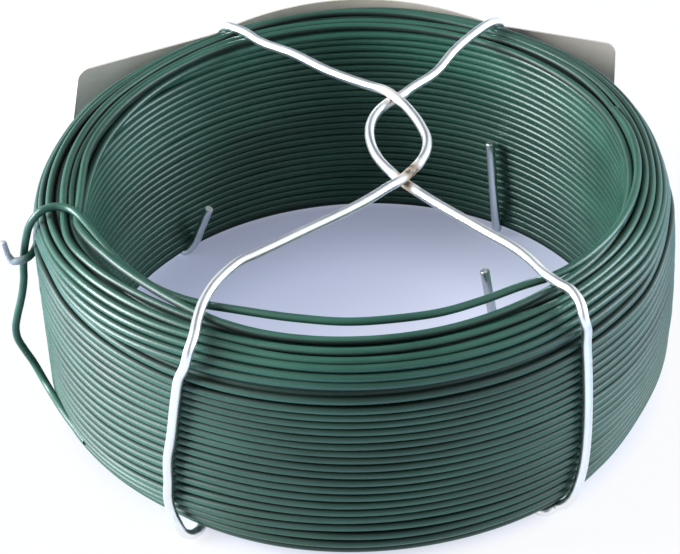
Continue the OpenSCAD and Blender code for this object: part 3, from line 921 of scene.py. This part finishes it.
def card_middle(f, x):
    """Point of the bent card's middle at x, and the way it faces."""
    for leave in CARD_LEAVES:
        a = math.radians(leave)
        edge = f.card_mid_r * math.sin(a)
        if (leave < 0 and x < edge) or (leave > 0 and x > edge):
            t = (x - edge) / math.cos(a)
            y = -f.card_mid_r * math.cos(a) + t * math.sin(a)
            return np.array([x, y]), np.array([math.sin(a), -math.cos(a)])
    y = math.sqrt(f.card_mid_r**2 - x * x)
    return np.array([x, y]), np.array([x, y]) / f.card_mid_r


class WIRECOIL_OT_card(bpy.types.Operator):
    """Cuts and bends the plain card that stands between the coil and the back legs"""
    bl_idname = "wire_coil.card"
    bl_label = "Card"

    def execute(self, context):
        f = Form()
        half_w = f.card_w / 2
        cols, rows = 96, 20
        even = np.linspace(0, 1, cols + 1)
        across = np.concatenate([CORNER_COLUMNS, even[2:-2], 1 - CORNER_COLUMNS[::-1]])
        rng = random.Random(SEED + 5)
        along, _, up = (rng.uniform(0, 6.28) for _ in range(3))
        sheet = []
        for u in across:
            z_top = card_top(f, -half_w + u * f.card_w)
            for k in range(rows + 1):
                z = f.card_low + (z_top - f.card_low) * k / rows
                left = -half_w - CARD_SLANT * max(0, f.card_high - z)
                x = left + u * (half_w - left)
                p, n = card_middle(f, x)
                # the free wings bow in and out a little
                wing = max(0.0, abs(x) - 40) / 40
                bow = wing * 0.25 * math.sin(x * 0.11 + along) * math.sin(z * 0.06 + up)
                sheet.append((p + n * bow, n, z))
        pts = np.array([(*(p + side * f.card_t / 2 * n), z)
                        for side in (-1, 1) for p, n, z in sheet])
        nc, nr = len(across), rows + 1
        at = np.arange(2 * nc * nr).reshape(2, nc, nr)
        quads = []
        for i in range(nc - 1):
            for k in range(nr - 1):
                for s in (0, 1):
                    q = (at[s, i, k], at[s, i + 1, k], at[s, i + 1, k + 1], at[s, i, k + 1])
                    quads.append(q if s == 0 else q[::-1])
        rim = ([(i, 0) for i in range(nc)] + [(nc - 1, k) for k in range(1, nr)]
               + [(i, nr - 1) for i in range(nc - 2, -1, -1)]
               + [(0, k) for k in range(nr - 2, 0, -1)])
        for p, q in zip(rim, rim[1:] + rim[:1]):
            quads.append((at[0][q], at[0][p], at[1][p], at[1][q]))
        quads = np.array(quads)
        m = Mesh()
        m.add(pts, quads, pts[quads][:, :, [0, 2]] * MM)
        finish_piece(m.make("label_card", board_material()), "card", "label_card")
        return {"FINISHED"}


# ---- materials ---------------------------------------------------------------------

class Graph:
    """Short way to place and join shader nodes. A value is a number, a colour or an
    output of another node."""

    def __init__(self, tree):
        self.tree, self.count = tree, 0

    def node(self, kind, **settings):
        """A new node with those settings."""
        n = self.tree.nodes.new(kind)
        n.location = (200 * (self.count % 8) - 800, 260 - 260 * (self.count // 8))
        self.count += 1
        for key, value in settings.items():
            setattr(n, key, value)
        return n

    def feed(self, socket, value):
        """Joins another node's output to a socket, or sets its plain value."""
        if isinstance(value, bpy.types.NodeSocket):
            self.tree.links.new(value, socket)
        elif socket.type == "RGBA":
            socket.default_value = (*value, 1)
        else:
            socket.default_value = value

    def set(self, node, **values):
        """Feeds inputs of a node by their names, written with _ for a space."""
        for key, value in values.items():
            self.feed(node.inputs[key.replace("_", " ")], value)
        return node

    def math(self, operation, a, b, clamp=False):
        n = self.node("ShaderNodeMath", operation=operation, use_clamp=clamp)
        self.feed(n.inputs[0], a)
        self.feed(n.inputs[1], b)
        return n.outputs[0]

    def times(self, a, b, clamp=False):
        return self.math("MULTIPLY", a, b, clamp)

    def plus(self, start, *parts):
        """start with each pair's product added to it."""
        for a, b in parts:
            start = self.math("ADD", start, self.times(a, b))
        return start

    def spread(self, value, low, high, to_low=0.0, to_high=1.0):
        """value mapped from low..high to to_low..to_high, with a soft start and end."""
        n = self.node("ShaderNodeMapRange", interpolation_type="SMOOTHSTEP")
        self.set(n, Value=value, From_Min=low, From_Max=high, To_Min=to_low, To_Max=to_high)
        return n.outputs["Result"]

    def mix(self, factor, a, b):
        n = self.node("ShaderNodeMix", data_type="RGBA")
        for socket, value in ((n.inputs[0], factor), (n.inputs[6], a), (n.inputs[7], b)):
            self.feed(socket, value)
        return n.outputs[2]

    def cover(self, body, colour_over, mask, amount, clamp=False):
        """The colour body with another over it, by amount times mask."""
        return self.mix(self.times(mask, amount, clamp), body, colour_over)

    def noise(self, vector, scale, detail=2.0, rough=0.5, warp=0.0):
        n = self.node("ShaderNodeTexNoise")
        self.set(n, Vector=vector, Scale=scale, Detail=detail, Roughness=rough, Distortion=warp)
        return n.outputs["Fac"]

    def stretched(self, vector, scale):
        return self.set(self.node("ShaderNodeMapping"), Vector=vector, Scale=scale).outputs[0]

    def bump(self, height, distance, strength, normal=None):
        n = self.node("ShaderNodeBump")
        self.set(n, Strength=strength, Distance=distance, Height=height)
        if normal is not None:
            self.set(n, Normal=normal)
        return n.outputs["Normal"]

    def where(self):
        """The place on the object, in metres."""
        return self.node("ShaderNodeTexCoord").outputs["Object"]

    def mask(self):
        """The value that the mesh holds for each of its points."""
        return self.node("ShaderNodeAttribute", attribute_name="mask").outputs["Fac"]

    def group(self, tree, **values):
        """The outputs of a node group that is given those values."""
        return self.set(self.node("ShaderNodeGroup", node_tree=tree), **values).outputs


def made_once(store, name):
    """For a function that builds the material or node group of that name: when it is
    called again it finds the one it made."""
    def wrap(build):
        def find():
            made = getattr(bpy.data, store)
            return made[name] if name in made else build(name)
        return find
    return wrap


def new_group(name, inputs, outputs):
    """A shader node group of numbers: its inputs with their defaults, and its outputs."""
    tree = bpy.data.node_groups.new(name, "ShaderNodeTree")
    for label, default in inputs:
        socket = tree.interface.new_socket(name=label, in_out="INPUT",
                                           socket_type="NodeSocketFloat")
        socket.default_value = default
    for label in outputs:
        tree.interface.new_socket(name=label, in_out="OUTPUT", socket_type="NodeSocketFloat")
    g = Graph(tree)
    return g, g.node("NodeGroupInput").outputs, g.node("NodeGroupOutput")


@made_once("node_groups", "Drawn marks along a wire")
def drawn_marks_group(name):
    """Fine scuffs and drawing lines that run along a wire."""
    g, given, out = new_group(name, (("Length", 400.0), ("Width", 3000.0), ("Amount", 0.5)),
                              ("Mask", "Height"))
    parts = g.node("ShaderNodeSeparateXYZ")
    g.feed(parts.inputs[0], g.node("ShaderNodeUVMap", uv_map="along").outputs["UV"])
    joined = g.node("ShaderNodeCombineXYZ")
    g.set(joined, X=g.times(parts.outputs[0], given["Length"]),
          Y=g.times(parts.outputs[1], given["Width"]))
    lines = g.noise(joined.outputs[0], 1.0, 3.0, 0.6)
    limit = g.math("SUBTRACT", 0.80, g.times(given["Amount"], 0.3))
    g.set(out, Mask=g.spread(lines, limit, 0.86), Height=lines)
    return g.tree


@made_once("node_groups", "Handling film")
def handling_group(name):
    """Dust and handling film: broad clouds, thicker on faces that look up, and fine specks."""
    g, given, out = new_group(
        name, (("Cloud size", 60.0), ("Speck size", 1800.0), ("Amount", 0.5)),
        ("Film", "Specks", "Grain"))
    where = g.where()
    cloud = g.noise(where, given["Cloud size"], 4.0, 0.55)
    speck = g.noise(where, given["Speck size"], 2.0, 0.6)
    facing = g.node("ShaderNodeSeparateXYZ")
    g.feed(facing.inputs[0], g.node("ShaderNodeNewGeometry").outputs["Normal"])
    lie = g.spread(facing.outputs[2], -0.2, 1.0, 0.35, 1.0)
    film = g.times(g.spread(cloud, 0.38, 0.72), lie)
    g.set(out, Film=g.times(film, given["Amount"]),
          Specks=g.times(g.spread(speck, 0.66, 0.78), given["Amount"]), Grain=speck)
    return g.tree


def material(name):
    """A new material, its graph and its shader."""
    mat = bpy.data.materials.new(name)
    mat.use_nodes = True
    return mat, Graph(mat.node_tree), mat.node_tree.nodes["Principled BSDF"]


def shade(base, factor):
    """A colour made lighter or darker."""
    return tuple(min(1, c * factor) for c in base)


@made_once("materials", "green plastic coat")
def coat_material(name):
    """The wire's coat: with painted shade where the mask is above 0, bleached where it is below."""
    fin = bpy.context.scene.wire_coil_finishes
    mat, g, shader = material(name)
    film = g.group(handling_group(), Cloud_size=55.0, Speck_size=1500.0, Amount=0.5)
    marks = g.group(drawn_marks_group(), Length=120.0, Width=2600.0, Amount=0.35)
    where, shade_and_bleach = g.where(), g.mask()
    tone = g.noise(g.stretched(where, (1, 1, 2.5)), 28.0, 3.0)
    body = g.mix(g.spread(tone, 0.3, 0.7), shade(fin.coat, 0.80), shade(fin.coat, 1.22))
    body = g.cover(body, fin.coat_chalk, film["Film"], 0.12)
    body = g.cover(body, fin.coat_chalk, marks["Mask"], 0.15)
    body = g.cover(body, (0.5, 0.56, 0.52), film["Specks"], 0.25)
    # painted shade: near black where the mask is above 0, in the grooves, on the upper flanks and
    # over the inner layer
    body = g.cover(body, (0.003, 0.009, 0.007), shade_and_bleach, 0.88, clamp=True)
    body = g.cover(body, (0.66, 0.67, 0.76), shade_and_bleach, -0.85, clamp=True)
    rough = g.plus(0.31, (film["Film"], 0.2), (shade_and_bleach, 0.3), (marks["Mask"], 0.15))
    normal = g.bump(g.noise(where, 1500.0, 2.0), 0.00008, 0.5)
    normal = g.bump(marks["Height"], 0.00003, 0.25, normal)
    g.set(shader, Base_Color=body, Roughness=rough, IOR=1.47, Normal=normal)
    return mat


@made_once("materials", "bright zinc plating")
def plating_material(name):
    """The cage's plating: tinted by heat, and scorched, as the mask says."""
    fin = bpy.context.scene.wire_coil_finishes
    mat, g, shader = material(name)
    film = g.group(handling_group(), Cloud_size=140.0, Speck_size=2200.0, Amount=0.6)
    marks = g.group(drawn_marks_group(), Length=200.0, Width=2400.0, Amount=0.6)
    where, heat = g.where(), g.mask()
    body = g.cover(fin.plating, (0.52, 0.54, 0.56), film["Film"], 0.5)
    body = g.cover(body, (0.45, 0.46, 0.48), marks["Mask"], 0.4)
    patchy = g.spread(g.noise(where, 420.0, 3.0), 0.12, 0.42)
    tint = g.times(g.math("POWER", heat, 1.1), patchy)
    body = g.mix(tint, body, fin.heat_tint)
    body = g.cover(body, (0.06, 0.05, 0.045), g.spread(heat, 0.8, 1.05),
                   g.spread(g.noise(where, 700.0, 2.0), 0.5, 0.6))
    metal = g.math("SUBTRACT", 1.0, g.times(tint, 0.85))
    rough = g.plus(0.31, (film["Film"], 0.2), (tint, 0.5))
    normal = g.bump(marks["Height"], 0.00008, 0.35)
    normal = g.bump(g.noise(where, 600.0, 3.0), 0.0001, 0.25, normal)
    g.set(shader, Base_Color=body, Metallic=metal, Roughness=rough, Normal=normal)
    return mat


@made_once("materials", "cut steel")
def cut_steel_material(name):
    """Bare steel with the grain of a cut."""
    fin = bpy.context.scene.wire_coil_finishes
    mat, g, shader = material(name)
    grain = g.noise(g.stretched(g.where(), (1, 1, 6)), 1800.0, 3.0)
    g.set(shader, Base_Color=g.mix(grain, fin.bare_steel, (0.82, 0.82, 0.82)), Metallic=1.0,
          Roughness=g.spread(grain, 0.2, 0.8, 0.25, 0.5), Normal=g.bump(grain, 0.0001, 0.4))
    return mat


@made_once("materials", "grey-brown board")
def board_material(name):
    """The card's board, with its fibres, mottling and pale specks."""
    base = bpy.context.scene.wire_coil_finishes.board
    mat, g, shader = material(name)
    where = g.where()
    film = g.group(handling_group(), Cloud_size=30.0, Speck_size=900.0, Amount=0.8)
    fibre = g.noise(g.stretched(where, (1, 1, 3)), 1400.0, 4.0, 0.7, 0.6)
    mottled = g.noise(where, 45.0, 4.0, 0.6)
    body = g.mix(g.spread(mottled, 0.3, 0.7), shade(base, 0.9), shade(base, 1.08))
    body = g.mix(g.spread(fibre, 0.55, 0.75, 0.0, 0.35), body, shade(base, 0.62))
    body = g.cover(body, shade(base, 1.5), film["Specks"], 0.5)
    g.set(shader, Base_Color=body, Roughness=g.spread(mottled, 0.3, 0.7, 0.62, 0.78),
          Normal=g.bump(fibre, 0.00012, 0.5))
    return mat


def mirror_ray(g, seen):
    """1 for a ray that a mirroring or clear surface sends on, else 0."""
    return g.math("MAXIMUM", seen["Is Glossy Ray"], seen["Is Transmission Ray"])


def floor_material():
    """The floor: white away from the coil, with its shadow kept beneath, and inside the bore
    a glow of painted light and shade."""
    f = Form()
    mat, g, shader = material("pale floor")
    g.set(shader, Base_Color=bpy.context.scene.wire_coil_stage.floor, Roughness=0.85)
    where = g.where()
    dist = g.node("ShaderNodeVectorMath", operation="LENGTH")
    g.feed(dist.inputs[0], where)
    dist = dist.outputs["Value"]
    bore_edge = f.bore_r * MM
    open_floor = g.spread(dist, bore_edge, f.coil_r * MM * 1.02)
    # inside the bore the floor glows with painted light, from painted shade to painted light in
    # this direction
    across = g.node("ShaderNodeVectorMath", operation="DOT_PRODUCT")
    g.feed(across.inputs[0], where)
    g.feed(across.inputs[1], (4.5, -8.0, 0.0))
    bore_painted_light = g.spread(across.outputs["Value"], -0.5, 0.4)
    in_bore = g.mix(bore_painted_light, (0.52, 0.57, 0.79), (1.05, 1.1, 1.32))
    floor_glow = g.node("ShaderNodeEmission")
    g.set(floor_glow, Strength=1.0, Color=g.mix(open_floor, in_bore, (1.0, 1.0, 1.0)))
    # for mirrored rays the floor glows: white close to the coil, dark farther off and dim in the
    # bore
    seen = g.node("ShaderNodeLightPath").outputs
    far = g.times(g.spread(dist, 0.094, 0.13, 1.0, 0.1), g.spread(dist, 0.07, 0.082, 0.3, 1.0))
    mirrored = g.times(far, mirror_ray(g, seen))
    ray = g.math("MAXIMUM", seen["Is Camera Ray"], mirrored)
    wall = g.spread(dist, 0.035, bore_edge, 0.76, 0.38)
    share = g.plus(wall, (open_floor, 0.55))
    mixer = g.node("ShaderNodeMixShader")
    for socket, value in zip(mixer.inputs, (g.times(share, ray), shader.outputs[0],
                                            floor_glow.outputs[0])):
        g.feed(socket, value)
    g.set(mat.node_tree.nodes["Material Output"], Surface=mixer.outputs[0])
    return mat


# ---- stage ------------------------------------------------------------------------

FLOOR_Z = -0.00003              # m: a hair under the wires that lie on it
FLOOR_HALF = 4.0                # m
CAMERA_AT = (0, -0.51113, 0.40466)
CAMERA_TURN = (-0.49, 36.42, -2.69)     # degrees to the right, down, and of roll


def lamp(name, place_at, aim, size, power, tone):
    """An oblong lamp that looks at aim."""
    data = bpy.data.lights.new(name, "AREA")
    data.shape = "RECTANGLE"
    data.size, data.size_y = size
    data.energy = power
    data.color = tone
    obj = bpy.data.objects.new(name, data)
    obj.location = place_at
    obj.rotation_mode = "QUATERNION"
    obj.rotation_quaternion = (Vector(aim) - Vector(place_at)).to_track_quat("-Z", "Y")
    bpy.context.scene.collection.objects.link(obj)


def vault(name, radius, half_length, arc):
    """A dark cloth arched over the table from front to back, open at the left and right.
    Camera, diffuse and shadow rays pass it, so it only darkens what the coil mirrors."""
    angles = np.radians(np.linspace(*arc, 25))
    pts = [(x, -radius * math.cos(a), radius * math.sin(a))
           for a in angles for x in (-half_length, half_length)]
    faces = [(2 * i, 2 * i + 1, 2 * i + 3, 2 * i + 2) for i in range(len(angles) - 1)]
    mesh = bpy.data.meshes.new(name)
    mesh.from_pydata(pts, [], faces)
    mat, g, shader = material("dark cloth")
    cloth = g.mix(g.noise(g.where(), 3.0), (0.08, 0.085, 0.09), (0.10, 0.105, 0.11))
    g.set(shader, Base_Color=cloth, Roughness=0.9)
    mesh.materials.append(mat)
    obj = bpy.data.objects.new(name, mesh)
    obj.visible_camera = False
    obj.visible_diffuse = False
    obj.visible_shadow = False
    return obj


class WIRECOIL_OT_stage(bpy.types.Operator):
    """Lays the floor and sets the lamps, the even light and the camera"""
    bl_idname = "wire_coil.stage"
    bl_label = "Floor, light and camera"

    def execute(self, context):
        scene = context.scene
        st = scene.wire_coil_stage
        scene.view_settings.view_transform = "Standard"

        mesh = bpy.data.meshes.new("floor")
        corners = [(x * FLOOR_HALF, y * FLOOR_HALF, FLOOR_Z)
                   for x, y in ((-1, -1), (1, -1), (1, 1), (-1, 1))]
        mesh.from_pydata(corners, [], [(0, 1, 2, 3)])
        floor = bpy.data.objects.new("floor", mesh)
        scene.collection.objects.link(floor)
        mesh.materials.append(floor_material())

        world = bpy.data.worlds.new("even light")
        scene.world = world
        world.use_nodes = True
        g = Graph(world.node_tree)
        # plain white where it is seen or mirrored, and weaker as light
        seen = g.node("ShaderNodeLightPath").outputs
        ray = g.math("MAXIMUM", seen["Is Camera Ray"], mirror_ray(g, seen))
        even = g.times(g.math("SUBTRACT", 1.0, ray), st.sky)
        g.set(world.node_tree.nodes["Background"], Strength=g.math("ADD", even, ray),
              Color=(1, 1, 1))

        lamp("key lamp", (-1.3, 0.0, 0.47), (0, 0, 0.03), (0.62, 0.95), st.key, (0.90, 0.96, 1.0))
        lamp("fill lamp", (1.3, 0.1, 0.5), (0, 0, 0.03), (0.8, 0.8), st.fill, (0.76, 0.89, 1.0))
        shade = vault("dark shade", 1.9, 0.5, (6, 174))
        scene.collection.objects.link(shade)

        cam = bpy.data.cameras.new("camera")
        cam.lens = st.lens / MM
        cam.sensor_width = 36
        obj = bpy.data.objects.new("camera", cam)
        scene.collection.objects.link(obj)
        yaw, pitch, roll = (math.radians(v) for v in CAMERA_TURN)
        ahead = Vector((math.sin(yaw) * math.cos(pitch), math.cos(yaw) * math.cos(pitch),
                        -math.sin(pitch)))
        flat = Vector((math.cos(yaw), -math.sin(yaw), 0))
        up = flat.cross(ahead)
        right = flat * math.cos(roll) + up * math.sin(roll)
        top = -flat * math.sin(roll) + up * math.cos(roll)
        turn = Matrix((right, top, -ahead)).transposed()
        obj.matrix_world = Matrix.Translation(CAMERA_AT) @ turn.to_4x4()
        cam.clip_start, cam.clip_end = 0.01, 20
        scene.camera = obj
        return {"FINISHED"}


class WIRECOIL_PT_panel(bpy.types.Panel):
    """Lists what builds the coil"""
    bl_label = "Wire Coil"
    bl_idname = "WIRECOIL_PT_panel"
    bl_space_type = "VIEW_3D"
    bl_region_type = "UI"
    bl_category = "Wire Coil"

    def draw(self, context):
        layout = self.layout
        for op in OPERATORS:
            layout.operator(op.bl_idname)
        for group in (context.scene.wire_coil_sizes, context.scene.wire_coil_finishes,
                      context.scene.wire_coil_stage):
            box = layout.box()
            for name in setting_names(group):
                box.prop(group, name)


SETTINGS = (("wire_coil_sizes", WireCoilSizes), ("wire_coil_finishes", WireCoilFinishes),
            ("wire_coil_stage", WireCoilStage))
OPERATORS = (WIRECOIL_OT_stage, WIRECOIL_OT_turns, WIRECOIL_OT_inner_turns,
             WIRECOIL_OT_loose_wire, WIRECOIL_OT_cage, WIRECOIL_OT_card)
CLASSES = tuple(c for _, c in SETTINGS) + OPERATORS + (WIRECOIL_PT_panel,)


def register():
    for c in CLASSES:
        bpy.utils.register_class(c)
    for name, c in SETTINGS:
        setattr(bpy.types.Scene, name, bpy.props.PointerProperty(type=c))


def unregister():
    for name, _ in SETTINGS:
        delattr(bpy.types.Scene, name)
    for c in reversed(CLASSES):
        bpy.utils.unregister_class(c)


def main():
    register()
    bpy.ops.wire_coil.stage()
    bpy.ops.wire_coil.turns()
    bpy.ops.wire_coil.inner_turns()
    bpy.ops.wire_coil.loose_wire()
    bpy.ops.wire_coil.cage()
    bpy.ops.wire_coil.card()


if __name__ == "__main__":
    main()
